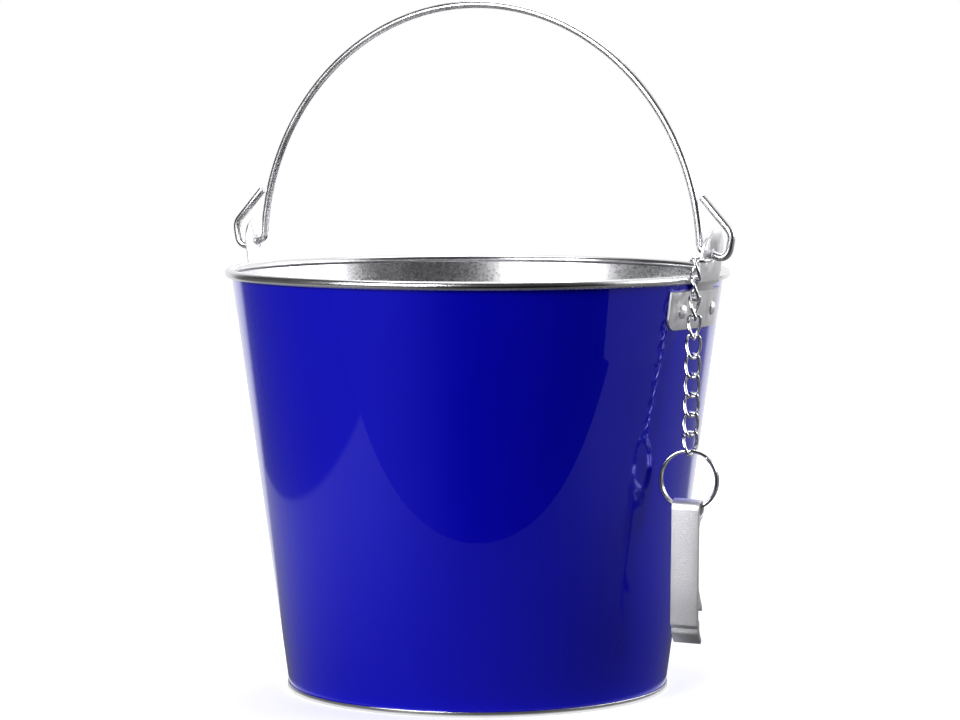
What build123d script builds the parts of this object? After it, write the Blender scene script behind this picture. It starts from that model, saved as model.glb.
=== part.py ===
from build123d import *
from math import atan2, cos, degrees, radians, sin, sqrt, tan
import os

# A tapered sheet-metal drinks bucket with a wire bail and a bottle opener on a chain.
# Millimetres, +Z up. The origin is the centre of the foot, on the plane it stands on.
# The ears and the bail's pivots lie along X, and the opener hangs beside the +X ear.

# Bucket
sheet = 0.5
foot_radius = 86.4            # outside of the wall where it sits in the base's channel
foot_z = sheet
wall_top_radius = 112.0       # outside of the wall where it turns into the bead
wall_top_z = 188.8
bead_radius = 2.0
bead_centre_radius = 113.0
bead_z = 190.0
curl_gap = 0.3                # between the curled edge and the wall
seam_width = 5.0
seam_rise = 0.5
seam_low_z = 3.0
seam_high_z = 186.0

# Base
floor_z = 3.0                 # underside of the recessed bottom
pan_radius = 85.8
channel_radius = 86.9
chime_radius = 87.4
chime_height = 2.5
chime_round = 0.2

# Ears
ear_sheet = 1.0
plate_low_z = 168.0
plate_high_z = 185.2
plate_half_width = 25.3
plate_low_round = 5.5
plate_high_round = 1.5
tongue_half_width = 10.8
tongue_flare = 6.0
tongue_foot = (115.2, 188.8)  # radius and height where the tongue clears the bead
tongue_lean = 8.0
tongue_top_z = 213.0
bend_radius = 1.5
ear_arc = 30.0

# Bail
pivot_z = 201.0
pivot_x = 117.4
pivot_hole_radius = 2.6
bail_wire = 1.75
bail_arc_radius = 112.5
bail_arc_centre_z = 198.9
bail_arc_end_z = 206.0
bail_shift = -1.2             # the bail sits a little towards the -X ear
hook_end = (-4.2, 25.0)       # from the pivot, outward and up
hook_top = (10.6, 8.9)
hook_low = (8.3, -3.37)
hook_inside = (-4.93, 2.0)
hook_radii = [6.0, 4.5, 3.0]

# Rivets
rivet_z = 176.0
rivet_spread = 8.0            # degrees each side of the ear's middle
shank_radius = 1.5
head_radius = 3.0
head_edge = 0.35
head_height = 1.3
tail_radius = 2.4
tail_height = 0.9
tail_gap = 0.04               # the wall is curved and the tail's face is flat

# Chain
chain_wire = 0.75
chain_gap = 0.15              # between one link and the next
chain_hole_radius = 1.5
chain_hole_y = -6.4
chain_hole_z = 198.5
nipped_length = 9.9           # between the middles of the first link's two ends
nipped_width = 7.0
nipped_near_y = -7.05
nipped_round = 3.0
link_half_height = 5.075
link_half_width = 3.5
link_twist = 1.9
link_end_radius = 1.6
link_side_radius = 9.0
view_side = 28.0              # degrees from -Y to the side that the opener faces
link_turns = [100.0, 88.0, 64.0, 38.0, 14.0, 2.0, 0.0, 2.0, 8.0, 24.0]
chain_lean = 1.6              # degrees off plumb
ring_turn = -20.0

# Split ring
coil_wire = 0.85
coil_half_pitch = 0.8
ring_radius = 12.85           # to the middle of the coils

# Bottle opener, as depth behind its face and height from its top
opener_width = 12.5
opener_edge = 0.4             # rounding along the cut ends
grip_depth = 2.2
grip_corner = 0.8
eye_radius = 4.5
eye_hole_radius = 2.9
eye_centre = (4.5, -4.5)
eye_blend = 4.0
eye_drop = 12.8              # below the ring's centre
grip_end = -56.0
lip_front = 1.9
lip_back = 4.0
lip_start = -57.4
lip_bend = -60.4
lip_bend_radius = 3.0
lip_tip = (6.0, -65.2)
lip_tip_back = (7.5, -63.9)
tooth_root = -39.2
tooth_blend = 6.0
tooth_tip = (8.2, -49.3)
tooth_tip_back = (7.7, -50.5)
mouth_top = -48.0
mouth_root = -52.9
mouth_low = -54.7
mouth_corner = 0.7

os.makedirs("parts", exist_ok=True)

taper = (wall_top_radius - foot_radius) / (wall_top_z - foot_z)


def wall_radius(z):
    """Outside radius of the wall at a height."""
    return foot_radius + (z - foot_z) * taper


def rivet_plane(ear_angle, turn):
    """Plane on the wall's outside at a rivet, facing away from the bucket."""
    angle = radians(ear_angle + turn)
    reach = wall_radius(rivet_z)
    return Plane(
        origin=(reach * cos(angle), reach * sin(angle), rivet_z),
        x_dir=(-sin(angle), cos(angle), 0),
        z_dir=(cos(angle), sin(angle), -taper),
    )


# The drills for the rivets' holes and for the chain's hole
with BuildPart(mode=Mode.PRIVATE) as rivet_drill:
    for ear_angle in (0, 180):
        for turn in (-rivet_spread, rivet_spread):
            with BuildSketch(rivet_plane(ear_angle, turn)):
                Circle(shank_radius)
            extrude(amount=3 * ear_sheet, both=True)
with BuildPart(mode=Mode.PRIVATE) as chain_drill:
    with BuildSketch(Plane.YZ):
        with Locations((chain_hole_y, chain_hole_z)):
            Circle(chain_hole_radius)
    extrude(amount=1.2 * pivot_x)

# The wall: a straight cone, its top edge curled outward, and a seam up the +Y side
with BuildPart() as bucket_wall:
    with BuildSketch(Plane.XZ):
        with BuildLine():
            Polyline(
                (foot_radius, foot_z),
                (wall_top_radius, wall_top_z),
                (wall_top_radius - sheet, wall_top_z),
                (foot_radius - sheet, foot_z),
                close=True,
            )
        make_face()
        with Locations((bead_centre_radius, bead_z)):
            Circle(bead_radius)
            Circle(bead_radius - sheet, mode=Mode.SUBTRACT)
        with Locations((wall_radius(bead_z - bead_radius), bead_z - bead_radius)):
            Rectangle(
                curl_gap, 2 * sheet, align=(Align.MIN, Align.CENTER), mode=Mode.SUBTRACT
            )
    revolve(axis=Axis.Z)
    seam_foot = (0, wall_radius(seam_low_z) - sheet / 2, seam_low_z)
    seam_plane = Plane(origin=seam_foot, x_dir=(1, 0, 0), z_dir=(0, taper, 1))
    with BuildSketch(seam_plane):
        Rectangle(seam_width, sheet / 2 + seam_rise, align=(Align.CENTER, Align.MIN))
    extrude(amount=(seam_high_z - seam_low_z) * sqrt(1 + taper**2))
    add(rivet_drill.part, mode=Mode.SUBTRACT)

# The bottom: a recessed disc whose rim folds under the wall's foot and up outside it
with BuildPart() as base_pan:
    with BuildSketch(Plane.XZ) as pan_section:
        with BuildLine():
            Polyline(
                (0, floor_z),
                (0, floor_z + sheet),
                (pan_radius, floor_z + sheet),
                (pan_radius, foot_z),
                (channel_radius, foot_z),
                (channel_radius, chime_height),
                (chime_radius, chime_height),
                (chime_radius, 0),
                (pan_radius - sheet, 0),
                (pan_radius - sheet, floor_z),
                close=True,
            )
        make_face()
        fillet(pan_section.vertices().group_by(Axis.X)[-1], radius=chime_round)
    revolve(axis=Axis.Z)

# The ears: sheet that follows the wall, steps out past the bead and stands up as a tongue
side = radians(ear_arc / 2)
ear_section_plane = Plane(
    origin=(0, 0, 0), x_dir=(cos(side), -sin(side), 0), z_dir=(-sin(side), -cos(side), 0)
)
tongue_top = (
    tongue_foot[0] + (tongue_top_z - tongue_foot[1]) * tan(radians(tongue_lean)),
    tongue_top_z,
)
with BuildPart(mode=Mode.PRIVATE) as ear_blank:
    with BuildSketch(ear_section_plane):
        with BuildLine():
            FilletPolyline(
                (wall_radius(plate_low_z), plate_low_z),
                (wall_radius(plate_high_z), plate_high_z),
                tongue_foot,
                tongue_top,
                radius=bend_radius,
            )
            offset(amount=ear_sheet, side=Side.RIGHT)
        make_face()
    revolve(axis=Axis.Z, revolution_arc=ear_arc)
    with BuildSketch(Plane.YZ) as ear_outline:
        with BuildLine():
            Polyline(
                (-plate_half_width, plate_low_z),
                (plate_half_width, plate_low_z),
                (plate_half_width, plate_high_z),
                (tongue_half_width, plate_high_z),
                (tongue_half_width, pivot_z),
                (-tongue_half_width, pivot_z),
                (-tongue_half_width, plate_high_z),
                (-plate_half_width, plate_high_z),
                close=True,
            )
        make_face()
        with Locations((0, pivot_z)):
            Circle(tongue_half_width)
        corners = ear_outline.vertices().group_by(Axis.Y)
        shoulder = corners[1].sort_by(Axis.X)
        fillet(corners[0], radius=plate_low_round)
        fillet([shoulder[0], shoulder[-1]], radius=plate_high_round)
        fillet(shoulder[1:-1], radius=tongue_flare)
    extrude(amount=1.2 * pivot_x, mode=Mode.INTERSECT)
    with BuildSketch(Plane.YZ):
        with Locations((0, pivot_z)):
            Circle(pivot_hole_radius)
    extrude(amount=1.2 * pivot_x, mode=Mode.SUBTRACT)
    add(rivet_drill.part, mode=Mode.SUBTRACT)

with BuildPart() as ear_bracket_front:
    add(ear_blank.part)
    add(chain_drill.part, mode=Mode.SUBTRACT)
with BuildPart() as ear_bracket_back:
    add(ear_blank.part, rotation=(0, 0, 180))

# Rivets: a domed head outside, a shank through ear and wall, a flattened tail inside
with BuildPart(mode=Mode.PRIVATE) as rivet:
    with BuildSketch(Plane.XZ):
        with BuildLine():
            Polyline(
                (0, ear_sheet + head_height),
                (0, -sheet - tail_gap - tail_height),
                (tail_radius - sheet, -sheet - tail_gap - tail_height),
                (tail_radius, -sheet - tail_gap - tail_height / 2),
                (tail_radius, -sheet - tail_gap),
                (shank_radius, -sheet - tail_gap),
                (shank_radius, ear_sheet),
                (head_radius, ear_sheet),
                (head_radius, ear_sheet + head_edge),
            )
            TangentArc(
                (0, ear_sheet + head_height),
                (head_radius, ear_sheet + head_edge),
                tangent=(1, 0),
            )
        make_face()
    revolve(axis=Axis.Z)

with BuildPart() as rivets_front:
    for turn in (-rivet_spread, rivet_spread):
        with Locations(rivet_plane(0, turn).location):
            add(rivet.part)
with BuildPart() as rivets_back:
    for turn in (-rivet_spread, rivet_spread):
        with Locations(rivet_plane(180, turn).location):
            add(rivet.part)

def from_pivot(step):
    """A point in the bail's plane, given outward and up from the +X pivot."""
    return (pivot_x + bail_shift + step[0], 0, pivot_z + step[1])


# The bail: one wire, an arch whose ends turn out through the ears and up into open hooks
arc_end_x = sqrt(bail_arc_radius**2 - (bail_arc_end_z - bail_arc_centre_z) ** 2)
arc_end = (bail_shift + arc_end_x, 0, bail_arc_end_z)
with BuildPart() as bail_handle:
    with BuildLine() as bail_path:
        hook = FilletPolyline(
            from_pivot(hook_end),
            from_pivot(hook_top),
            from_pivot(hook_low),
            from_pivot(hook_inside),
            arc_end,
            radius=hook_radii,
        )
        mirror(hook, about=Plane.YZ.offset(bail_shift))
        ThreePointArc(
            arc_end,
            (bail_shift, 0, bail_arc_centre_z + bail_arc_radius),
            (bail_shift - arc_end_x, 0, bail_arc_end_z),
        )
    with BuildSketch(Plane(origin=hook @ 0, z_dir=hook % 0)):
        Circle(bail_wire)
    sweep(path=bail_path.wire())

# The first link lies flat, closed through the chain hole and round the ear's edge
ear_middle = tongue_foot[0] + (chain_hole_z - tongue_foot[1]) * tan(radians(tongue_lean))
chain_x = ear_middle + ear_sheet / 2
hang_y = nipped_near_y - nipped_length
nipped_plane = Plane(origin=(chain_x, (nipped_near_y + hang_y) / 2, chain_hole_z))
with BuildPart() as chain_link_01:
    with BuildLine(nipped_plane) as nipped_path:
        FilletPolyline(
            (nipped_width / 2, nipped_length / 2),
            (nipped_width / 2, -nipped_length / 2),
            (-nipped_width / 2, -nipped_length / 2),
            (-nipped_width / 2, nipped_length / 2),
            radius=nipped_round,
            close=True,
        )
    nipped_wire = nipped_path.wire()
    with BuildSketch(Plane(origin=nipped_wire @ 0, z_dir=nipped_wire % 0)):
        Circle(chain_wire)
    sweep(path=nipped_wire)

# The hanging chain's own frame: its Z runs up the chain, a little off plumb
lean_axis = Vector(-sin(radians(view_side)), cos(radians(view_side)), 0)
chain_up = Vector(0, 0, 1).rotate(Axis((0, 0, 0), lean_axis), chain_lean)
hang_from = Vector(chain_x, hang_y, chain_hole_z)
chain_frame = Plane(
    origin=hang_from, x_dir=lean_axis.cross(chain_up), z_dir=chain_up
).location
link_pitch = 2 * (link_half_height - chain_wire) - chain_gap


def on_chain(drop, turn):
    """Plane across the chain, a drop below its hanging point. At turn 0 its -Y faces the viewer."""
    return Plane(chain_frame * Location((0, 0, -drop), (0, 0, turn)))


# A curb link: an oval of wire with a quarter twist between its ends, swept in two halves
with BuildPart(mode=Mode.PRIVATE) as curb_link:
    with BuildLine() as half_link:
        FilletPolyline(
            (0, 0, link_half_height),
            (link_twist, -link_twist, link_half_height),
            (link_half_width, 0, 0),
            (link_twist, link_twist, -link_half_height),
            (0, 0, -link_half_height),
            radius=[link_end_radius, link_side_radius, link_end_radius],
        )
    half_wire = half_link.wire()
    with BuildSketch(Plane(origin=half_wire @ 0, z_dir=half_wire % 0)):
        Circle(chain_wire)
    sweep(path=half_wire)
    add(curb_link.part, rotation=(0, 0, 180))

# Ten of them, each hooked through the last
first_drop = link_half_height - 2 * chain_wire - chain_gap
for number, turn in enumerate(link_turns):
    with BuildPart() as link:
        with Locations(on_chain(first_drop + number * link_pitch, turn).location):
            add(curb_link.part)
    link.part.label = f"chain_link_{number + 2:02d}"
    export_step(link.part, f"parts/{link.part.label}.step")

# The split ring: two coils of wire pressed together, through the last link
last_bar_drop = first_drop + (len(link_turns) - 1) * link_pitch + link_half_height
ring_drop = last_bar_drop - chain_wire - chain_gap + ring_radius - coil_wire
ring_plane = on_chain(ring_drop, ring_turn)
with BuildPart() as split_ring:
    with BuildSketch(ring_plane):
        with Locations((ring_radius, -coil_half_pitch), (ring_radius, coil_half_pitch)):
            Circle(coil_wire)
    revolve(axis=Axis(ring_plane.origin, ring_plane.y_dir))

# The bottle opener: one slice of an extruded bar, balanced on the ring by its eye
with BuildSketch(mode=Mode.PRIVATE) as opener_profile:
    with BuildLine():
        FilletPolyline(
            (0, eye_centre[1]),
            (0, grip_end),
            (lip_front, lip_start),
            (lip_front, lip_bend),
            lip_tip,
            lip_tip_back,
            (lip_back, lip_bend + lip_front),
            (lip_back, mouth_low),
            (grip_depth, mouth_root),
            (grip_depth, mouth_top),
            tooth_tip_back,
            tooth_tip,
            (grip_depth, tooth_root),
            (grip_depth, eye_centre[1]),
            radius=[
                0,
                grip_corner,
                grip_corner,
                lip_bend_radius,
                opener_edge,
                opener_edge,
                lip_bend_radius - opener_edge,
                mouth_corner,
                mouth_corner,
                mouth_corner,
                0,
                0,
                tooth_blend,
                0,
            ],
            close=True,
        )
    make_face()
    with Locations(eye_centre):
        Circle(eye_radius)
    notch = opener_profile.vertices().filter_by(lambda v: abs(v.X - grip_depth) < 0.01)
    fillet(notch.filter_by(lambda v: v.Y < eye_centre[1]).sort_by(Axis.Y)[-1], radius=eye_blend)
    with Locations(eye_centre):
        Circle(eye_hole_radius, mode=Mode.SUBTRACT)
balance = opener_profile.face().center(CenterOf.MASS) - Vector(*eye_centre)
eye_plane = on_chain(ring_drop + eye_drop, ring_turn)
opener_plane = Plane(
    eye_plane.location
    * Plane.YZ.location
    * Location((0, 0, 0), (0, 0, degrees(atan2(-balance.X, -balance.Y))))
    * Location((-eye_centre[0], -eye_centre[1], 0))
)
with BuildPart() as bottle_opener:
    with BuildSketch(opener_plane):
        add(opener_profile.sketch)
    extrude(amount=opener_width / 2, both=True)

bucket_wall.part.label = "bucket_wall"
base_pan.part.label = "base_pan"
ear_bracket_front.part.label = "ear_bracket_front"
ear_bracket_back.part.label = "ear_bracket_back"
rivets_front.part.label = "rivets_front"
rivets_back.part.label = "rivets_back"
bail_handle.part.label = "bail_handle"
chain_link_01.part.label = "chain_link_01"
split_ring.part.label = "split_ring"
bottle_opener.part.label = "bottle_opener"

export_step(bucket_wall.part, "parts/bucket_wall.step")
export_step(base_pan.part, "parts/base_pan.step")
export_step(ear_bracket_front.part, "parts/ear_bracket_front.step")
export_step(ear_bracket_back.part, "parts/ear_bracket_back.step")
export_step(rivets_front.part, "parts/rivets_front.step")
export_step(rivets_back.part, "parts/rivets_back.step")
export_step(bail_handle.part, "parts/bail_handle.step")
export_step(chain_link_01.part, "parts/chain_link_01.step")
export_step(split_ring.part, "parts/split_ring.step")
export_step(bottle_opener.part, "parts/bottle_opener.step")
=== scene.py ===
"""Drinks bucket with a wire bail and a bottle opener on a chain: the visible pieces.

Lengths are in metres, +Z is up and the origin is the middle of the bucket's foot.
The ears lie along X, and the opener hangs beside the ear on +X.
"""

import logging
import math
from dataclasses import dataclass, field
from enum import Enum

import bmesh
import bpy
from mathutils import Matrix, Vector


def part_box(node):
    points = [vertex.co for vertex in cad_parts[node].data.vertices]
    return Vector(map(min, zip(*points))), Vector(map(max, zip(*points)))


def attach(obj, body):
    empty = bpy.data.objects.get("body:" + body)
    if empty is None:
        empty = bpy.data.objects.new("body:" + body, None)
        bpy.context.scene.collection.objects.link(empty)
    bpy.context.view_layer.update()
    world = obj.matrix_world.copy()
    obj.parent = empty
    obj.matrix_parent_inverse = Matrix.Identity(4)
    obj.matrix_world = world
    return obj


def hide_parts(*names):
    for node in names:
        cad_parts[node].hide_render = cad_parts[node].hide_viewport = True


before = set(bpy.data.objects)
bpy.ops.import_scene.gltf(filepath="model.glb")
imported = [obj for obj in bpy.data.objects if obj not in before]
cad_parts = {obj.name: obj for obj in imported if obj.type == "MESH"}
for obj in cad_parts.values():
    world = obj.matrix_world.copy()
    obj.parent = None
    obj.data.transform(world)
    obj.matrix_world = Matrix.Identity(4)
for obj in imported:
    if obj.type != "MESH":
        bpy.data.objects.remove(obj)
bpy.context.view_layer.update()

log = logging.getLogger("bucket")
MM = 0.001
SHARP = math.radians(32)
FLAT = math.radians(0.5)
SAME_POINT = 1e-6
SHORTEST_RUN = 1e-7
WHITE = (1, 1, 1, 1)
VIEW_SIDE = math.radians(28)
STUDIO_RIGHT = Vector((math.cos(VIEW_SIDE), math.sin(VIEW_SIDE), 0))
STUDIO_BACK = Vector((-math.sin(VIEW_SIDE), math.cos(VIEW_SIDE), 0))
UP = Vector((0, 0, 1))


class Body(Enum):
    """The moving bodies that pieces ride on."""

    BUCKET = "bucket"
    BAIL = "bail"
    RING = "ring"
    OPENER = "opener"


class Slot(Enum):
    """The record's material slots."""

    ENAMEL = "blue_enamel"
    TINPLATE = "tinplate"
    PLATED = "plated_steel"
    ALLOY = "opener_alloy"


# ---------------------------------------------------------------- shader groups


def new_group(name: str, inputs: dict[str, tuple], outputs: dict[str, str]) -> bpy.types.NodeTree:
    """Make a shader node group with its sockets.

    Args:
        name: The group's name.
        inputs: Socket name to (socket type, default value).
        outputs: Socket name to socket type.

    Returns:
        The new node tree, holding its input and output nodes.
    """
    tree = bpy.data.node_groups.new(name, "ShaderNodeTree")
    for label, (kind, value) in inputs.items():
        socket = tree.interface.new_socket(label, in_out="INPUT", socket_type=kind)
        socket.default_value = value
    for label, kind in outputs.items():
        tree.interface.new_socket(label, in_out="OUTPUT", socket_type=kind)
    tree.nodes.new("NodeGroupInput").name = "in"
    tree.nodes.new("NodeGroupOutput").name = "out"
    return tree


GRAIN_DETAIL = 4.0
GRAIN_CONTRAST = 0.6
SMUDGE_DETAIL = 3.0
SMUDGE_SHARE = 0.5
ROUGH_SPOTS = (0.35, 0.65)
TINT_SPOTS = (0.35, 0.6)


def metal_grain_group() -> bpy.types.NodeTree:
    """Build the group for rolled or drawn metal: fine streaks over broad smudges.

    Returns:
        The node group, with Roughness, Tint and Height outputs.
    """
    number, vector = "NodeSocketFloat", "NodeSocketVector"
    tree = new_group(
        "metal_grain",
        {
            "Grain Scale": (vector, (400.0, 400.0, 40.0)),
            "Smudge Scale": (number, 25.0),
            "Smooth": (number, 0.2),
            "Rough": (number, 0.35),
            "Darkest": (number, 0.9),
        },
        {"Roughness": number, "Tint": number, "Height": number},
    )
    nodes, links = tree.nodes, tree.links
    place = nodes.new("ShaderNodeTexCoord")
    stretch = nodes.new("ShaderNodeVectorMath")
    stretch.operation = "MULTIPLY"
    grain = nodes.new("ShaderNodeTexNoise")
    grain.inputs["Scale"].default_value = 1.0
    grain.inputs["Detail"].default_value = GRAIN_DETAIL
    grain.inputs["Roughness"].default_value = GRAIN_CONTRAST
    smudge = nodes.new("ShaderNodeTexNoise")
    smudge.inputs["Detail"].default_value = SMUDGE_DETAIL
    blend = nodes.new("ShaderNodeMath")
    blend.operation = "MULTIPLY_ADD"
    blend.inputs[1].default_value = 1.0 - SMUDGE_SHARE
    share = nodes.new("ShaderNodeMath")
    share.operation = "MULTIPLY"
    share.inputs[1].default_value = SMUDGE_SHARE
    rough = nodes.new("ShaderNodeMapRange")
    rough.inputs["From Min"].default_value, rough.inputs["From Max"].default_value = ROUGH_SPOTS
    tint = nodes.new("ShaderNodeMapRange")
    tint.inputs["From Min"].default_value, tint.inputs["From Max"].default_value = TINT_SPOTS
    tint.inputs["To Max"].default_value = 1.0
    source, sink = nodes["in"], nodes["out"]
    links.new(place.outputs["Object"], stretch.inputs[0])
    links.new(source.outputs["Grain Scale"], stretch.inputs[1])
    links.new(stretch.outputs["Vector"], grain.inputs["Vector"])
    links.new(place.outputs["Object"], smudge.inputs["Vector"])
    links.new(source.outputs["Smudge Scale"], smudge.inputs["Scale"])
    links.new(smudge.outputs["Fac"], share.inputs[0])
    links.new(grain.outputs["Fac"], blend.inputs[0])
    links.new(share.outputs["Value"], blend.inputs[2])
    links.new(blend.outputs["Value"], rough.inputs["Value"])
    links.new(source.outputs["Smooth"], rough.inputs["To Min"])
    links.new(source.outputs["Rough"], rough.inputs["To Max"])
    links.new(blend.outputs["Value"], tint.inputs["Value"])
    links.new(source.outputs["Darkest"], tint.inputs["To Min"])
    links.new(rough.outputs["Result"], sink.inputs["Roughness"])
    links.new(tint.outputs["Result"], sink.inputs["Tint"])
    links.new(grain.outputs["Fac"], sink.inputs["Height"])
    return tree


def shade_group() -> bpy.types.NodeTree:
    """Build the group that darkens a colour by a mask.

    Returns:
        The node group, with a Colour output.
    """
    colour, number = "NodeSocketColor", "NodeSocketFloat"
    tree = new_group(
        "shade",
        {"Colour": (colour, (0.8, 0.8, 0.8, 1.0)), "Tint": (number, 1.0)},
        {"Colour": colour},
    )
    scale = tree.nodes.new("ShaderNodeVectorMath")
    scale.operation = "SCALE"
    tree.links.new(tree.nodes["in"].outputs["Colour"], scale.inputs[0])
    tree.links.new(tree.nodes["in"].outputs["Tint"], scale.inputs["Scale"])
    tree.links.new(scale.outputs["Vector"], tree.nodes["out"].inputs["Colour"])
    return tree


GRAIN = metal_grain_group()
SHADE = shade_group()


def add_group(
    material: bpy.types.Material, tree: bpy.types.NodeTree, values: dict[str, object]
) -> bpy.types.Node:
    """Place a node group in a material with its own values.

    Args:
        material: The material that gets the group.
        tree: The group.
        values: Input socket name to value.

    Returns:
        The group node.
    """
    node = material.node_tree.nodes.new("ShaderNodeGroup")
    node.node_tree = tree
    for label, value in values.items():
        node.inputs[label].default_value = value
    return node


@dataclass(frozen=True)
class MetalFinish:
    """Bare or plated metal with a grain."""

    name: str
    colour: tuple[float, float, float]
    smooth: float
    rough: float
    grain: tuple[float, float, float]
    smudge: float = 25.0
    darkest: float = 0.9
    bump: float = 0.05
    bump_depth: float = 0.00002

    def material(self) -> bpy.types.Material:
        """Build the node material.

        Returns:
            The material.
        """
        made = bpy.data.materials.new(self.name)
        made.use_nodes = True
        nodes, links = made.node_tree.nodes, made.node_tree.links
        shader = nodes["Principled BSDF"]
        shader.inputs["Metallic"].default_value = 1.0
        grain = add_group(
            made,
            GRAIN,
            {
                "Grain Scale": self.grain,
                "Smudge Scale": self.smudge,
                "Smooth": self.smooth,
                "Rough": self.rough,
                "Darkest": self.darkest,
            },
        )
        shade = add_group(made, SHADE, {"Colour": (*self.colour, 1.0)})
        bump = nodes.new("ShaderNodeBump")
        bump.inputs["Strength"].default_value = self.bump
        bump.inputs["Distance"].default_value = self.bump_depth
        links.new(grain.outputs["Tint"], shade.inputs["Tint"])
        links.new(shade.outputs["Colour"], shader.inputs["Base Color"])
        links.new(grain.outputs["Roughness"], shader.inputs["Roughness"])
        links.new(grain.outputs["Height"], bump.inputs["Height"])
        links.new(bump.outputs["Normal"], shader.inputs["Normal"])
        return made


@dataclass(frozen=True)
class EnamelFinish:
    """Stoved gloss paint, with the faint unevenness of sprayed lacquer."""

    name: str
    colour: tuple[float, float, float]
    metal: float = 0.35
    smooth: float = 0.2
    rough: float = 0.28
    coat: float = 1.0
    coat_roughness: float = 0.02
    specular: float = 0.1
    ripple_scale: tuple[float, float, float] = (55.0, 55.0, 35.0)
    ripple: float = 0.12
    ripple_depth: float = 0.00005
    smudge: float = 12.0
    darkest: float = 0.97

    def material(self) -> bpy.types.Material:
        """Build the node material.

        Returns:
            The material.
        """
        made = bpy.data.materials.new(self.name)
        made.use_nodes = True
        nodes, links = made.node_tree.nodes, made.node_tree.links
        shader = nodes["Principled BSDF"]
        shader.inputs["Metallic"].default_value = self.metal
        shader.inputs["Coat Weight"].default_value = self.coat
        shader.inputs["Coat Roughness"].default_value = self.coat_roughness
        shader.inputs["Specular IOR Level"].default_value = self.specular
        grain = add_group(
            made,
            GRAIN,
            {
                "Grain Scale": self.ripple_scale,
                "Smudge Scale": self.smudge,
                "Smooth": self.smooth,
                "Rough": self.rough,
                "Darkest": self.darkest,
            },
        )
        shade = add_group(made, SHADE, {"Colour": (*self.colour, 1.0)})
        bump = nodes.new("ShaderNodeBump")
        bump.inputs["Strength"].default_value = self.ripple
        bump.inputs["Distance"].default_value = self.ripple_depth
        links.new(grain.outputs["Tint"], shade.inputs["Tint"])
        links.new(shade.outputs["Colour"], shader.inputs["Base Color"])
        links.new(grain.outputs["Roughness"], shader.inputs["Roughness"])
        links.new(grain.outputs["Height"], bump.inputs["Height"])
        links.new(bump.outputs["Normal"], shader.inputs["Normal"])
        return made


BLUE_ENAMEL = EnamelFinish("blue_enamel_gloss", (0.003, 0.003, 0.62)).material()
TINPLATE = MetalFinish(
    "tinplate_rolled", (0.72, 0.72, 0.74), 0.22, 0.36, (700.0, 700.0, 900.0), 14.0, 0.9, 0.12
).material()
# A lighter copy of the tinplate for the rim bead and the chime: its own grain and smoothness,
# with a lighter colour that is a painted highlight.
RIM_PAINTED_HIGHLIGHT = MetalFinish(
    "rolled_edge_painted_highlight", (0.82, 0.82, 0.84), 0.18, 0.28, (60.0, 60.0, 900.0), 20.0, 0.9, 0.03
).material()
BRIGHT_SHEET = MetalFinish(
    "bright_plated_sheet", (0.93, 0.93, 0.95), 0.34, 0.46, (500.0, 500.0, 500.0), 60.0, 0.9, 0.1
).material()
BRIGHT_WIRE = MetalFinish(
    "bright_drawn_wire", (0.88, 0.88, 0.9), 0.22, 0.34, (250.0, 900.0, 250.0), 40.0, 0.85
).material()
CHAIN_PLATE = MetalFinish(
    "nickel_chain_wire", (0.84, 0.84, 0.86), 0.08, 0.2, (900.0, 900.0, 900.0), 120.0, 0.85
).material()
SATIN_ALLOY = MetalFinish(
    "satin_aluminium", (0.86, 0.86, 0.89), 0.36, 0.46, (1500.0, 1500.0, 1900.0), 30.0, 0.86,
    0.8, 0.0002,
).material()
WALL_LOOKS = [BLUE_ENAMEL, TINPLATE, RIM_PAINTED_HIGHLIGHT]
BOTTOM_LOOKS = [TINPLATE, RIM_PAINTED_HIGHLIGHT]


# ---------------------------------------------------------------- mesh helpers


def ring_edges(verts: list[bmesh.types.BMVert]) -> list[bmesh.types.BMEdge]:
    """Find the edges that join the given vertices to each other.

    Args:
        verts: The vertices.

    Returns:
        The edges, in a fixed order.
    """
    held = set(verts)
    found = {e: None for v in verts for e in v.link_edges if e.other_vert(v) in held}
    return list(found)


def sharp_edges(bm: bmesh.types.BMesh, angle: float = SHARP) -> list[bmesh.types.BMEdge]:
    """Edges whose two faces meet at more than an angle."""
    return [e for e in bm.edges if len(e.link_faces) == 2 and e.calc_face_angle(0) > angle]


def make_piece(
    bm: bmesh.types.BMesh,
    name: str,
    body: str,
    materials: list[bpy.types.Material],
    stands_for: tuple[str, ...],
) -> bpy.types.Object:
    """Turn a bmesh into a named piece that rides on a body.

    Args:
        bm: The mesh, in the row's frame. It is freed.
        name: The piece's name.
        body: The body that it moves with.
        materials: The materials that the faces' indices name.
        stands_for: The CAD nodes that it replaces.

    Returns:
        The new object.
    """
    for face in bm.faces:
        face.smooth = True
    for edge in sharp_edges(bm):
        edge.smooth = False
    mesh = bpy.data.meshes.new(name)
    bm.to_mesh(mesh)
    bm.free()
    for material in materials:
        mesh.materials.append(material)
    piece = bpy.data.objects.new(name, mesh)
    bpy.context.scene.collection.objects.link(piece)
    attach(piece, body)
    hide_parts(*stands_for)
    log.info("%s: %d faces on %s", name, len(mesh.polygons), body)
    return piece


def copy_of_node(node: str, edge: float, segments: int = 2) -> bmesh.types.BMesh:
    """Copy a CAD node's mesh, join its triangles and soften its edges.

    Args:
        node: The CAD node.
        edge: Width of the bevel on its sharp edges.
        segments: Steps across that bevel.

    Returns:
        The softened mesh.
    """
    bm = bmesh.new()
    bm.from_mesh(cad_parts[node].data)
    bmesh.ops.remove_doubles(bm, verts=bm.verts, dist=SAME_POINT)
    bmesh.ops.dissolve_limit(bm, angle_limit=FLAT, verts=bm.verts, edges=bm.edges)
    bmesh.ops.bevel(
        bm,
        geom=sharp_edges(bm),
        offset=edge,
        offset_type="OFFSET",
        affect="EDGES",
        segments=segments,
        profile=0.5,
        material=-1,
        clamp_overlap=True,
    )
    return bm


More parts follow.
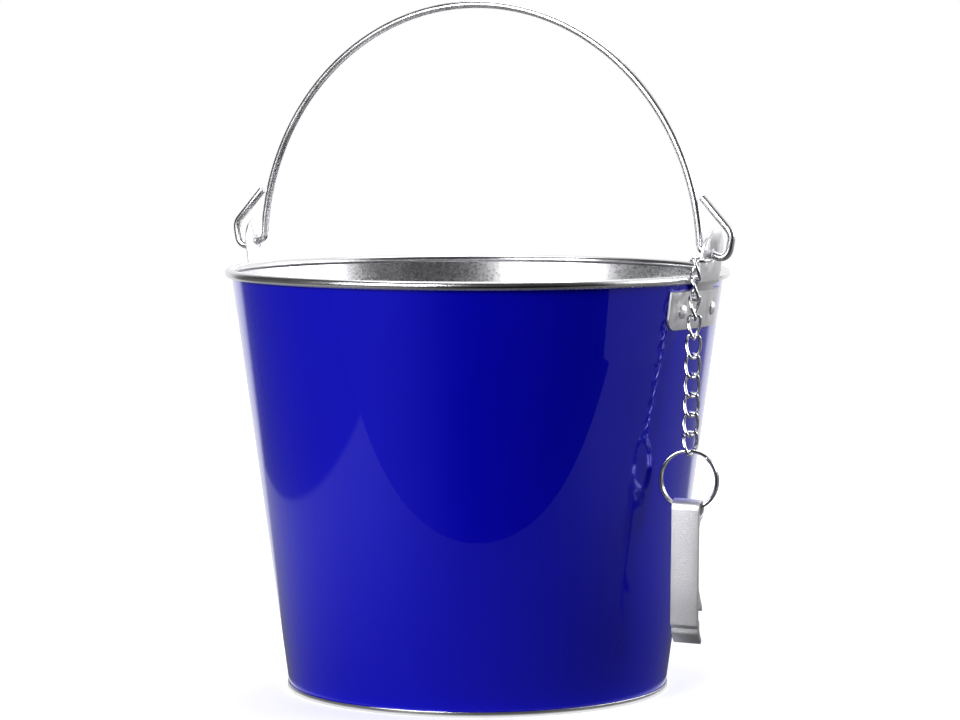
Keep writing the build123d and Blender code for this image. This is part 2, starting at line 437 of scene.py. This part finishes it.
@dataclass
class WireBender:
    """Forms round wire as a bending machine does, from straight runs and turns."""

    wire: float
    sides: int = 20
    end_round: float = 0.3
    bm: bmesh.types.BMesh = field(default_factory=bmesh.new)
    at: Vector = field(init=False)
    verts: list[bmesh.types.BMVert] = field(init=False)
    first: list[bmesh.types.BMEdge] = field(init=False)
    edges: list[bmesh.types.BMEdge] = field(init=False)

    def start(self, at: Vector, towards: Vector) -> None:
        """Cut the wire's first end.

        Args:
            at: Middle of the end.
            towards: Direction that the wire leaves in.
        """
        turn = towards.to_track_quat("Z", "Y").to_matrix().to_4x4()
        made = bmesh.ops.create_circle(
            self.bm,
            cap_ends=False,
            segments=self.sides,
            radius=self.wire,
            matrix=Matrix.Translation(at) @ turn,
        )
        self.verts = made["verts"]
        self.first = ring_edges(self.verts)
        self.edges = list(self.first)
        self.at = at.copy()

    def run_to(self, point: Vector) -> None:
        """Feed the wire straight to a point.

        Args:
            point: Where the run ends. A run of no length is left out.
        """
        step = point - self.at
        if step.length < SHORTEST_RUN:
            return
        made = bmesh.ops.extrude_edge_only(self.bm, edges=self.edges)
        self.verts = [g for g in made["geom"] if isinstance(g, bmesh.types.BMVert)]
        self.edges = ring_edges(self.verts)
        bmesh.ops.translate(self.bm, verts=self.verts, vec=step)
        self.at = point.copy()

    def turn(
        self, centre: Vector, axis: Vector, angle: float, steps: int, rise: Vector = Vector()
    ) -> None:
        """Bend the wire round a centre.

        Args:
            centre: Point on the bend's axis.
            axis: The bend's axis.
            angle: Angle of the bend.
            steps: Number of sections.
            rise: How far the wire also travels along the axis.
        """
        made = bmesh.ops.spin(
            self.bm,
            geom=self.verts + self.edges,
            cent=centre,
            axis=axis,
            dvec=rise / steps,
            angle=angle,
            steps=steps,
            use_merge=False,
            use_normal_flip=False,
            use_duplicate=False,
        )
        self.verts = [g for g in made["geom_last"] if isinstance(g, bmesh.types.BMVert)]
        self.edges = ring_edges(self.verts)
        self.at = centre + Matrix.Rotation(angle, 3, axis) @ (self.at - centre) + rise

    def follow(self, points: list[Vector], radii: list[float], steps: int = 7) -> None:
        """Bend along corners, each with its own radius.

        Args:
            points: The corners, then the end.
            radii: A radius for each corner.
            steps: Sections in each bend.
        """
        behind = self.at.copy()
        for corner, ahead, radius in zip(points, points[1:], radii):
            before = (corner - behind).normalized()
            after = (ahead - corner).normalized()
            angle = before.angle(after)
            self.run_to(corner - before * radius * math.tan(angle / 2))
            axis = before.cross(after).normalized()
            self.turn(self.at + axis.cross(before) * radius, axis, angle, steps)
            behind = corner
        self.run_to(points[-1])

    def join(self) -> bmesh.types.BMesh:
        """Weld the two ends together.

        Returns:
            The closed loop.
        """
        bmesh.ops.bridge_loops(self.bm, edges=self.first + self.edges)
        bmesh.ops.recalc_face_normals(self.bm, faces=self.bm.faces)
        return self.bm

    def crop(self) -> bmesh.types.BMesh:
        """Close both cut ends and round their edges.

        Returns:
            The finished wire.
        """
        for loop in (self.first, self.edges):
            bmesh.ops.contextual_create(self.bm, geom=loop)
        bmesh.ops.recalc_face_normals(self.bm, faces=self.bm.faces)
        bmesh.ops.bevel(
            self.bm,
            geom=self.first + self.edges,
            offset=self.wire * self.end_round,
            affect="EDGES",
            segments=3,
            profile=0.5,
            material=-1,
        )
        return self.bm


@dataclass
class ProfilePen:
    """Draws half of a turned shape's section in the XZ plane, then spins it."""

    bm: bmesh.types.BMesh = field(default_factory=bmesh.new)
    tip: bmesh.types.BMVert = field(init=False)

    def start(self, radius: float, height: float) -> None:
        """Put the pen down."""
        self.tip = self.bm.verts.new((radius, 0, height))

    def line(self, radius: float, height: float, steps: int = 1) -> None:
        """Draw a straight line.

        Args:
            radius: Radius of its end.
            height: Height of its end.
            steps: Number of equal edges along it.
        """
        step = (Vector((radius, 0, height)) - self.tip.co) / steps
        for _ in range(steps):
            made = bmesh.ops.extrude_vert_indiv(self.bm, verts=[self.tip])
            self.tip = made["verts"][0]
            bmesh.ops.translate(self.bm, verts=[self.tip], vec=step)

    def arc(self, radius: float, height: float, angle: float, steps: int) -> None:
        """Draw an arc round a centre.

        Args:
            radius: Radius of the centre.
            height: Height of the centre.
            angle: Angle of the arc, clockwise where it is positive.
            steps: Number of edges along it.
        """
        made = bmesh.ops.spin(
            self.bm,
            geom=[self.tip],
            cent=(radius, 0, height),
            axis=(0, 1, 0),
            dvec=(0, 0, 0),
            angle=angle,
            steps=steps,
            use_merge=False,
            use_duplicate=False,
        )
        self.tip = [g for g in made["geom_last"] if isinstance(g, bmesh.types.BMVert)][0]

    def turned(self, steps: int) -> bmesh.types.BMesh:
        """Spin the section all the way round Z.

        Args:
            steps: Segments round the shape.

        Returns:
            The mesh, its doubles merged and its faces pointing outwards.
        """
        bmesh.ops.spin(
            self.bm,
            geom=self.bm.verts[:] + self.bm.edges[:],
            cent=(0, 0, 0),
            axis=(0, 0, 1),
            dvec=(0, 0, 0),
            angle=2 * math.pi,
            steps=steps,
            use_merge=True,
            use_duplicate=False,
        )
        bmesh.ops.remove_doubles(self.bm, verts=self.bm.verts, dist=SAME_POINT)
        bmesh.ops.recalc_face_normals(self.bm, faces=self.bm.faces)
        return self.bm


# ---------------------------------------------------------------- the bucket


@dataclass
class BucketShell:
    """The rolled wall with its curled rim and side seam, and the folded bottom."""

    sheet: float = 0.5 * MM
    foot_radius: float = 86.4 * MM
    foot: float = 0.5 * MM
    top_radius: float = 112.0 * MM
    top: float = 188.8 * MM
    bead_radius: float = 1.99 * MM
    bead_centre: tuple[float, float] = (113.0 * MM, 190.0 * MM)
    curl_start: float = math.radians(220.65)
    curl: float = math.radians(330)
    curl_steps: int = 28
    wall_steps: int = 12
    round_steps: int = 256
    paint_reach: float = 0.15 * MM
    seam_width: float = 5.0 * MM
    seam_rise: float = 0.5 * MM
    seam_span: tuple[float, float] = (3.0 * MM, 186.0 * MM)
    seam_edge: float = 0.2 * MM
    pan_section: tuple[tuple[float, float], ...] = (
        (0.0, 3.5), (85.8, 3.5), (85.8, 0.5), (86.9, 0.5), (86.9, 2.5),
        (87.4, 2.5), (87.4, 0.0), (85.3, 0.0), (85.3, 3.0), (0.0, 3.0),
    )
    pan_edge: float = 0.2 * MM

    def taper(self) -> float:
        """Rise of the wall's radius with height."""
        return (self.top_radius - self.foot_radius) / (self.top - self.foot)

    def outside(self, height: float) -> float:
        """Outside radius of the wall at a height."""
        return self.foot_radius + (height - self.foot) * self.taper()

    def wall(self) -> bmesh.types.BMesh:
        """Spin the wall's bare face up into the curl, then give the sheet its thickness.

        Returns:
            The wall. Its faces' materials are the paint, the bare sheet and, on the rim, a
            lighter copy of the bare sheet that paints a highlight.
        """
        across, high = self.bead_centre
        pen = ProfilePen()
        pen.start(self.foot_radius - self.sheet, self.foot)
        pen.line(
            across + self.bead_radius * math.cos(self.curl_start),
            high + self.bead_radius * math.sin(self.curl_start),
            self.wall_steps,
        )
        pen.arc(across, high, self.curl, self.curl_steps)
        bm = pen.turned(self.round_steps)
        lowest = min(bm.faces, key=lambda face: face.calc_center_median().z)
        if lowest.normal.dot(lowest.calc_center_median() * Vector((1, 1, 0))) > 0:
            bmesh.ops.reverse_faces(bm, faces=bm.faces)
        bmesh.ops.solidify(bm, geom=bm.faces, thickness=self.sheet)
        for face in bm.faces:
            middle = face.calc_center_median()
            reach = math.hypot(middle.x, middle.y)
            # The rim's faces take the lighter copy of the sheet, a painted highlight.
            if middle.z >= self.top:
                face.material_index = WALL_LOOKS.index(RIM_PAINTED_HIGHLIGHT)
            elif abs(reach - self.outside(middle.z)) < self.paint_reach:
                face.material_index = WALL_LOOKS.index(BLUE_ENAMEL)
            else:
                face.material_index = WALL_LOOKS.index(TINPLATE)
        return bm

    def add_seam(self, bm: bmesh.types.BMesh) -> None:
        """Lay the lapped side seam up the wall's outside, on the +Y side.

        Args:
            bm: The wall, which gains the seam.
        """
        low, high = self.seam_span
        depth = self.seam_rise + self.sheet / 2
        lean = Matrix.Rotation(-math.atan(self.taper()), 4, "X")
        middle = (low + high) / 2
        radius = self.outside(middle) - self.sheet / 2 + depth / 2
        length = (high - low) * math.hypot(1, self.taper())
        sized = Matrix.Diagonal((self.seam_width, depth, length, 1))
        made = bmesh.ops.create_cube(
            bm, size=1, matrix=Matrix.Translation((0, radius, middle)) @ lean @ sized
        )
        bmesh.ops.bevel(
            bm,
            geom=ring_edges(made["verts"]),
            offset=self.seam_edge,
            affect="EDGES",
            segments=2,
            profile=0.5,
            material=-1,
        )

    def bottom(self) -> bmesh.types.BMesh:
        """Spin the recessed bottom and the chime that is folded round the wall's foot.

        Returns:
            The bottom. Its faces' materials are the bare sheet and, on the chime, a lighter copy
            of the bare sheet that paints a highlight.
        """
        pen = ProfilePen()
        first, *others = [(x * MM, z * MM) for x, z in self.pan_section]
        pen.start(*first)
        for corner in others:
            pen.line(*corner)
        bm = pen.turned(self.round_steps)
        bmesh.ops.bevel(
            bm,
            geom=sharp_edges(bm),
            offset=self.pan_edge,
            affect="EDGES",
            segments=3,
            profile=0.5,
            material=-1,
            clamp_overlap=True,
        )
        # The chime's faces take the lighter copy of the sheet, a painted highlight.
        for face in bm.faces:
            middle = face.calc_center_median()
            chime = math.hypot(middle.x, middle.y) > self.foot_radius
            face.material_index = BOTTOM_LOOKS.index(RIM_PAINTED_HIGHLIGHT if chime else TINPLATE)
        return bm

    def build(self) -> None:
        """Make the wall and the bottom."""
        bm = self.wall()
        self.add_seam(bm)
        make_piece(
            bm, "painted_wall", Body.BUCKET.value, WALL_LOOKS, ("bucket_wall",)
        )
        make_piece(
            self.bottom(), "folded_bottom", Body.BUCKET.value, BOTTOM_LOOKS,
            ("base_pan",),
        )


@dataclass
class Ears:
    """The two pressed ears and the rivets that hold them."""

    edge: float = 0.18 * MM
    rivet_edge: float = 0.12 * MM

    def build(self) -> None:
        """Make both ears and both pairs of rivets."""
        for side in ("front", "back"):
            for name, edge in (("ear_bracket", self.edge), ("rivets", self.rivet_edge)):
                node = f"{name}_{side}"
                make_piece(
                    copy_of_node(node, edge), f"{name}_pressed_{side}", Body.BUCKET.value,
                    [BRIGHT_SHEET], (node,),
                )


@dataclass
class Bail:
    """The wire handle: an arch that ends in an open hook through each ear."""

    wire: float = 1.75 * MM
    shift: float = -1.2 * MM
    pivot: tuple[float, float] = (117.4 * MM, 201.0 * MM)
    arc_radius: float = 112.5 * MM
    arc_centre: float = 198.9 * MM
    arc_end: float = 206.0 * MM
    hook: tuple[tuple[float, float], ...] = (
        (-4.2, 25.0), (10.6, 8.9), (8.3, -3.37), (-4.93, 2.0),
    )
    hook_radii: tuple[float, ...] = (6.0, 4.5, 3.0)
    arch_steps: int = 120
    sides: int = 24

    def hook_points(self, side: float) -> list[Vector]:
        """Corners of one hook, from its cut end to the arch.

        Args:
            side: 1 for the ear on +X, -1 for the other.

        Returns:
            The corners, in the row's frame.
        """
        across, high = self.pivot
        points = [(across + x * MM, high + z * MM) for x, z in self.hook]
        drop = self.arc_end - self.arc_centre
        points.append((math.sqrt(self.arc_radius**2 - drop**2), self.arc_end))
        return [Vector((self.shift + side * x, 0, z)) for x, z in points]

    def build(self) -> None:
        """Bend the whole bail out of one wire."""
        near, far = self.hook_points(1), self.hook_points(-1)
        radii = [radius * MM for radius in self.hook_radii]
        bender = WireBender(self.wire, self.sides)
        bender.start(near[0], near[1] - near[0])
        bender.follow(near[1:], radii)
        centre = Vector((self.shift, 0, self.arc_centre))
        rise = math.asin((self.arc_end - self.arc_centre) / self.arc_radius)
        bender.turn(centre, Vector((0, -1, 0)), math.pi - 2 * rise, self.arch_steps)
        bender.follow(list(reversed(far[:-1])), list(reversed(radii)))
        make_piece(
            bender.crop(), "wire_bail", Body.BAIL.value, [BRIGHT_WIRE],
            ("bail_handle",),
        )


@dataclass
class Chain:
    """The curb chain: one link nipped round the ear's edge and ten that hang."""

    wire: float = 0.73 * MM
    cad_wire: float = 0.75 * MM
    half_height: float = 5.075 * MM
    half_width: float = 3.5 * MM
    twist: float = 1.9 * MM
    end_radius: float = 1.6 * MM
    side_radius: float = 9.0 * MM
    nipped_round: float = 3.0 * MM
    lean: float = math.radians(1.6)
    turns: tuple[float, ...] = (100.0, 88.0, 64.0, 38.0, 14.0, 2.0, 0.0, 2.0, 8.0, 24.0)
    weld: float = 0.1 * MM
    sides: int = 14
    bend_steps: int = 8

    def hang(self, node: str, turn: float) -> Matrix:
        """Place a piece of the chain where its CAD node hangs.

        Args:
            node: The CAD node, whose middle it takes.
            turn: Degrees about the chain's line, from facing the studio's front.

        Returns:
            The placing matrix.
        """
        low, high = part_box(node)
        lean = Matrix.Rotation(self.lean, 4, STUDIO_BACK)
        spin = Matrix.Rotation(VIEW_SIDE + math.radians(turn), 4, "Z")
        return Matrix.Translation((low + high) / 2) @ lean @ spin

    def curb_link(self, place: Matrix) -> bmesh.types.BMesh:
        """Bend one oval link with its quarter twist.

        Args:
            place: Where the link hangs.

        Returns:
            The closed link.
        """
        a, w, h, gap = self.twist, self.half_width, self.half_height, self.weld
        corners = [(a, -a, h), (w, 0, 0), (a, a, -h), (-a, -a, -h), (-w, 0, 0), (-a, a, h)]
        end, side = self.end_radius, self.side_radius
        points = [place @ Vector(corner) for corner in (*corners, (-gap, gap, h))]
        first = place @ Vector((gap, -gap, h))
        bender = WireBender(self.wire, self.sides)
        bender.start(first, points[0] - first)
        bender.follow(points, [end, side, end, end, side, end], self.bend_steps)
        return bender.join()

    def nipped_link(self) -> bmesh.types.BMesh:
        """Bend the flat link that is closed through the ear's small hole.

        Returns:
            The closed link.
        """
        low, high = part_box("chain_link_01")
        middle = (low + high) / 2
        half = (high - low) / 2 - Vector((self.cad_wire, self.cad_wire, 0))
        corners = [(1, 1), (1, -1), (-1, -1), (-1, 1)]
        points = [middle + Vector((half.x * x, half.y * y, 0)) for x, y in corners]
        first = middle + Vector((self.weld, half.y, 0))
        points.append(middle + Vector((-self.weld, half.y, 0)))
        bender = WireBender(self.wire, self.sides)
        bender.start(first, points[0] - first)
        bender.follow(points, [self.nipped_round] * len(corners), self.bend_steps)
        return bender.join()

    def build(self) -> None:
        """Make every link."""
        make_piece(
            self.nipped_link(), "nipped_link", Body.BUCKET.value, [CHAIN_PLATE],
            ("chain_link_01",),
        )
        for number, turn in enumerate(self.turns, start=2):
            node = f"chain_link_{number:02d}"
            make_piece(
                self.curb_link(self.hang(node, turn)), f"curb_link_{number:02d}",
                f"link_{number:02d}", [CHAIN_PLATE], (node,),
            )


@dataclass
class SplitRing:
    """The two-turn key ring, wound from one wire with a step between its coils."""

    wire: float = 0.8 * MM
    radius: float = 12.85 * MM
    half_pitch: float = 0.8 * MM
    turn: float = -20.0
    cut: float = math.radians(53)
    step: float = math.radians(34)
    sides: int = 14
    coil_steps: int = 84
    step_steps: int = 12

    def build(self, chain: Chain) -> None:
        """Wind the ring.

        Args:
            chain: The chain that it hangs from.
        """
        place = chain.hang("split_ring", self.turn)
        across, back, up = (place.to_3x3() @ Vector(d) for d in ((1, 0, 0), (0, 1, 0), (0, 0, 1)))
        centre = place.translation
        out = across * math.cos(self.cut) + up * math.sin(self.cut)
        start = centre + out * self.radius - back * self.half_pitch
        flat = 2 * math.pi - self.step
        bender = WireBender(self.wire, self.sides)
        bender.start(start, back.cross(out))
        bender.turn(centre, back, flat, self.coil_steps)
        bender.turn(centre, back, self.step, self.step_steps, back * 2 * self.half_pitch)
        bender.turn(centre, back, flat, self.coil_steps)
        make_piece(
            bender.crop(), "split_ring_coils", Body.RING.value, [CHAIN_PLATE],
            ("split_ring",),
        )


@dataclass
class Opener:
    """The bottle opener, one slice of extruded bar with tumbled edges."""

    edge: float = 0.3 * MM
    edge_steps: int = 3

    def build(self) -> None:
        """Make the opener."""
        make_piece(
            copy_of_node("bottle_opener", self.edge, self.edge_steps), "extruded_opener",
            Body.OPENER.value, [SATIN_ALLOY], ("bottle_opener",),
        )


# ---------------------------------------------------------------- the studio


@dataclass(frozen=True)
class Panel:
    """A soft box or a white card, placed in the studio's own directions."""

    name: str
    right: float
    back: float
    height: float
    size: tuple[float, float]
    power: float
    aim: tuple[float, float, float] = (0.0, 0.0, 0.12)

    def place(self) -> None:
        """Hang the panel as an area light that faces its aim."""
        data = bpy.data.lights.new(self.name, "AREA")
        data.shape = "RECTANGLE"
        data.size, data.size_y = self.size
        data.energy = self.power
        lamp = bpy.data.objects.new(self.name, data)
        lamp.location = STUDIO_RIGHT * self.right + STUDIO_BACK * self.back + UP * self.height
        aim = STUDIO_RIGHT * self.aim[0] + STUDIO_BACK * self.aim[1] + UP * self.aim[2]
        lamp.rotation_mode = "QUATERNION"
        lamp.rotation_quaternion = (aim - lamp.location).to_track_quat("-Z", "Y")
        lamp.visible_camera = False
        bpy.context.scene.collection.objects.link(lamp)


@dataclass
class Studio:
    """A pale table in front of a white surround, soft light and the camera."""

    table_front: float = -0.28
    table_far: float = 2.6
    table_half: float = 2.4
    # The table's painted light and shade: spots and levels of its glow as the camera sees it, and
    # of its painted glow for other rays.
    painted_light_fade_spots: tuple[float, float] = (-0.4, 0.02)
    painted_light_fade: tuple[float, float] = (0.42, 0.1)
    foot_painted_light_spots: tuple[float, float] = (0.089, 0.095)
    far_painted_light_spots: tuple[float, float] = (0.74, 0.84)
    painted_shade_edge: tuple[float, float] = (-0.405, -0.385)
    painted_shade_levels: tuple[float, float] = (0.25, 1.0)
    right_painted_light_spots: tuple[float, float] = (0.12, 0.4)
    right_painted_light: tuple[float, float] = (0.0, 0.13)
    table_white: float = 0.8
    painted_glow_spots: tuple[float, float] = (0.1, 1.0)
    painted_glow: tuple[float, float] = (0.42, 1.0)
    horizon: tuple[float, float] = (-0.03, 0.05)
    sky_middle: tuple[float, float] = (0.616, 0.788)
    sky_spots: tuple[float, float] = (0.05, 0.5)
    sky: tuple[float, float] = (0.04, 1.0)
    low_side_spots: tuple[float, float] = (-0.75, -0.05)
    low_side: tuple[float, float] = (0.12, 0.0)
    low_back_spots: tuple[float, float] = (0.76, 0.84)
    card_ends: tuple[tuple[float, float], ...] = ((0.504, -0.31), (0.9, 0.45))
    card_height: float = 0.25
    card_spots: tuple[float, float] = (-0.3, 0.3)
    card_glow: tuple[float, float] = (0.24, 0.3)
    panels: tuple[Panel, ...] = (
        Panel("key_box", -1.05, -1.25, 0.75, (1.2, 0.8), 34.0),
        Panel("side_box", 1.2, 0.2, 0.5, (1.2, 0.6), 8.0),
        Panel("top_box", 0.0, 0.3, 1.6, (1.2, 0.8), 9.0),
    )
    lens: float = 131.625
    camera_right: float = 0.00113
    camera_back: float = -1.6
    camera_height: float = 0.2783
    pitch: float = math.radians(4.6)

    def ramp(
        self, nodes: bpy.types.Nodes, links: bpy.types.NodeLinks, value: bpy.types.NodeSocket,
        spots: tuple[float, float], levels: tuple[float, float],
    ) -> bpy.types.NodeSocket:
        """Turn a measure into a level that changes smoothly between two spots.

        Args:
            nodes: The tree's nodes.
            links: The tree's links.
            value: The measure.
            spots: Where the change starts and ends.
            levels: The level at each of those.

        Returns:
            The socket with the level.
        """
        ramp = nodes.new("ShaderNodeMapRange")
        ramp.interpolation_type = "SMOOTHSTEP"
        ramp.inputs["From Min"].default_value, ramp.inputs["From Max"].default_value = spots
        ramp.inputs["To Min"].default_value, ramp.inputs["To Max"].default_value = levels
        links.new(value, ramp.inputs["Value"])
        return ramp.outputs["Result"]

    def graded(
        self, nodes: bpy.types.Nodes, links: bpy.types.NodeLinks, source: bpy.types.NodeSocket,
        along: Vector, spots: tuple[float, float], levels: tuple[float, float],
    ) -> bpy.types.NodeSocket:
        """Grade a level along a direction.

        Args:
            nodes: The tree's nodes.
            links: The tree's links.
            source: The vector that is measured.
            along: The direction that it is measured along.
            spots: Where the grade starts and ends.
            levels: The level at each of those.

        Returns:
            The socket with the level.
        """
        measure = nodes.new("ShaderNodeVectorMath")
        measure.operation = "DOT_PRODUCT"
        measure.inputs[1].default_value = along
        links.new(source, measure.inputs[0])
        return self.ramp(nodes, links, measure.outputs["Value"], spots, levels)

    def mathed(
        self, nodes: bpy.types.Nodes, links: bpy.types.NodeLinks, operation: str,
        one: bpy.types.NodeSocket, other: bpy.types.NodeSocket,
    ) -> bpy.types.NodeSocket:
        """Join two levels.

        Args:
            nodes: The tree's nodes.
            links: The tree's links.
            operation: The Math node's operation.
            one: The first level.
            other: The second level.

        Returns:
            The result's socket.
        """
        node = nodes.new("ShaderNodeMath")
        node.operation = operation
        links.new(one, node.inputs[0])
        links.new(other, node.inputs[1])
        return node.outputs["Value"]

    def table_material(self) -> bpy.types.Material:
        """Matt white under a painted glow: painted light on the sweep behind and round the foot,
        painted shade on the table in front.

        Returns:
            The material.
        """
        made = bpy.data.materials.new("pale_table_painted_light")
        made.use_nodes = True
        nodes, links = made.node_tree.nodes, made.node_tree.links
        nodes.remove(nodes["Principled BSDF"])
        matt = nodes.new("ShaderNodeBsdfDiffuse")
        matt.inputs["Color"].default_value = (*[self.table_white] * 3, 1)
        glow = nodes.new("ShaderNodeEmission")
        seen = nodes.new("ShaderNodeEmission")
        place = nodes.new("ShaderNodeTexCoord").outputs["Object"]
        direction = nodes.new("ShaderNodeVectorMath")
        direction.operation = "NORMALIZE"
        links.new(place, direction.inputs[0])
        reach = nodes.new("ShaderNodeVectorMath")
        reach.operation = "LENGTH"
        links.new(place, reach.inputs[0])
        # Painted light: full glow in a ring round the bucket's foot.
        close = self.ramp(nodes, links, reach.outputs["Value"], self.foot_painted_light_spots, (1.0, 0.0))
        # Painted light towards the back, painted shade on the table in front, a painted shade
        # edge on the left and more painted light on the right.
        far = self.graded(
            nodes, links, direction.outputs["Vector"], STUDIO_BACK, self.far_painted_light_spots, (0.0, 1.0)
        )
        left = self.graded(
            nodes, links, place, STUDIO_RIGHT, self.painted_shade_edge, self.painted_shade_levels
        )
        fade = self.graded(
            nodes, links, place, STUDIO_RIGHT, self.painted_light_fade_spots, self.painted_light_fade
        )
        right = self.graded(
            nodes, links, place, STUDIO_RIGHT, self.right_painted_light_spots, self.right_painted_light
        )
        side = self.mathed(
            nodes, links, "ADD", self.mathed(nodes, links, "MULTIPLY", left, fade), right
        )
        lit = self.mathed(nodes, links, "MAXIMUM", far, side)
        links.new(self.mathed(nodes, links, "MAXIMUM", lit, close), glow.inputs["Strength"])
        # Painted glow for other rays, brighter towards the back, which lights the pieces and
        # shows in their reflections.
        behind = self.graded(
            nodes, links, place, STUDIO_BACK, self.painted_glow_spots, self.painted_glow
        )
        links.new(behind, seen.inputs["Strength"])
        # The camera sees only the painted light and shade; other rays see the matt white with its
        # painted glow.
        path = nodes.new("ShaderNodeLightPath")
        choose = nodes.new("ShaderNodeMixShader")
        add = nodes.new("ShaderNodeAddShader")
        links.new(matt.outputs["BSDF"], add.inputs[0])
        links.new(seen.outputs["Emission"], add.inputs[1])
        links.new(path.outputs["Is Camera Ray"], choose.inputs["Fac"])
        links.new(glow.outputs["Emission"], choose.inputs[1])
        links.new(add.outputs["Shader"], choose.inputs[2])
        links.new(choose.outputs["Shader"], nodes["Material Output"].inputs["Surface"])
        return made

    def add_table(self) -> None:
        """Lay the table top, its front edge just out of the camera's view."""
        bm = bmesh.new()
        bmesh.ops.create_grid(bm, x_segments=1, y_segments=1, size=1)
        depth = (self.table_far - self.table_front) / 2
        middle = (self.table_far + self.table_front) / 2
        bmesh.ops.scale(bm, vec=(self.table_half, depth, 1), verts=bm.verts)
        bmesh.ops.translate(bm, vec=(0, middle, 0), verts=bm.verts)
        bmesh.ops.rotate(
            bm, cent=(0, 0, 0), matrix=Matrix.Rotation(VIEW_SIDE, 3, "Z"), verts=bm.verts
        )
        mesh = bpy.data.meshes.new("table_top")
        bm.to_mesh(mesh)
        bm.free()
        mesh.materials.append(self.table_material())
        table = bpy.data.objects.new("table_top", mesh)
        bpy.context.scene.collection.objects.link(table)

    def add_surround(self) -> None:
        """Bright above, dark below the table's edge, and plain white to the camera."""
        world = bpy.data.worlds.new("studio")
        bpy.context.scene.world = world
        world.use_nodes = True
        nodes, links = world.node_tree.nodes, world.node_tree.links
        room = nodes["Background"]
        room.inputs["Color"].default_value = WHITE
        white = nodes.new("ShaderNodeBackground")
        white.inputs["Color"].default_value = WHITE
        towards = nodes.new("ShaderNodeTexCoord").outputs["Generated"]
        over = self.graded(nodes, links, towards, UP, self.horizon, (0.0, 1.0))
        under = self.graded(nodes, links, towards, UP, self.horizon, (1.0, 0.0))
        bright_side = STUDIO_RIGHT * self.sky_middle[0] + STUDIO_BACK * self.sky_middle[1]
        sky = self.graded(nodes, links, towards, bright_side, self.sky_spots, self.sky)
        left = self.graded(
            nodes, links, towards, STUDIO_RIGHT, self.low_side_spots, self.low_side
        )
        back = self.graded(nodes, links, towards, STUDIO_BACK, self.low_back_spots, (0.0, 1.0))
        low = self.mathed(nodes, links, "MAXIMUM", left, back)
        above = self.mathed(nodes, links, "MULTIPLY", over, sky)
        below = self.mathed(nodes, links, "MULTIPLY", under, low)
        links.new(self.mathed(nodes, links, "ADD", above, below), room.inputs["Strength"])
        path = nodes.new("ShaderNodeLightPath")
        choose = nodes.new("ShaderNodeMixShader")
        links.new(path.outputs["Is Camera Ray"], choose.inputs["Fac"])
        links.new(room.outputs["Background"], choose.inputs[1])
        links.new(white.outputs["Background"], choose.inputs[2])
        links.new(choose.outputs["Shader"], nodes["World Output"].inputs["Surface"])

    def add_card(self) -> None:
        """Stand the low grey card on the right of the table, out of the camera's sight."""
        bm = bmesh.new()
        bmesh.ops.create_grid(bm, x_segments=1, y_segments=1, size=0.5)
        start, end = (STUDIO_RIGHT * x + STUDIO_BACK * y for x, y in self.card_ends)
        run = end - start
        bmesh.ops.scale(bm, vec=(run.length, self.card_height, 1), verts=bm.verts)
        turn = Matrix.Rotation(math.atan2(run.y, run.x), 4, "Z") @ Matrix.Rotation(
            math.pi / 2, 4, "X"
        )
        middle = (start + end) / 2 + UP * self.card_height / 2
        bmesh.ops.transform(bm, matrix=Matrix.Translation(middle) @ turn, verts=bm.verts)
        mesh = bpy.data.meshes.new("grey_card")
        bm.to_mesh(mesh)
        bm.free()
        made = bpy.data.materials.new("grey_card")
        made.use_nodes = True
        nodes, links = made.node_tree.nodes, made.node_tree.links
        nodes.remove(nodes["Principled BSDF"])
        glow = nodes.new("ShaderNodeEmission")
        place = nodes.new("ShaderNodeTexCoord").outputs["Object"]
        level = self.graded(nodes, links, place, STUDIO_BACK, self.card_spots, self.card_glow)
        links.new(level, glow.inputs["Strength"])
        links.new(glow.outputs["Emission"], nodes["Material Output"].inputs["Surface"])
        mesh.materials.append(made)
        card = bpy.data.objects.new("grey_card", mesh)
        card.visible_camera = False
        card.visible_shadow = False
        bpy.context.scene.collection.objects.link(card)

    def add_camera(self) -> None:
        """Stand the camera in front of the opener's side."""
        data = bpy.data.cameras.new("camera")
        data.lens = self.lens
        camera = bpy.data.objects.new("camera", data)
        camera.location = (
            STUDIO_RIGHT * self.camera_right
            + STUDIO_BACK * self.camera_back
            + UP * self.camera_height
        )
        camera.rotation_euler = (math.pi / 2 - self.pitch, 0, VIEW_SIDE)
        bpy.context.scene.collection.objects.link(camera)
        bpy.context.scene.camera = camera

    def build(self) -> None:
        """Set the studio up."""
        self.add_camera()
        self.add_table()
        self.add_surround()
        self.add_card()
        for panel in self.panels:
            panel.place()
        bpy.context.scene.view_settings.view_transform = "Standard"


def main() -> None:
    """Build the studio and every piece in order."""
    logging.basicConfig(level=logging.INFO, format="%(name)s %(message)s")
    Studio().build()
    BucketShell().build()
    Ears().build()
    Bail().build()
    chain = Chain()
    chain.build()
    SplitRing().build(chain)
    Opener().build()


if __name__ == "__main__":
    main()
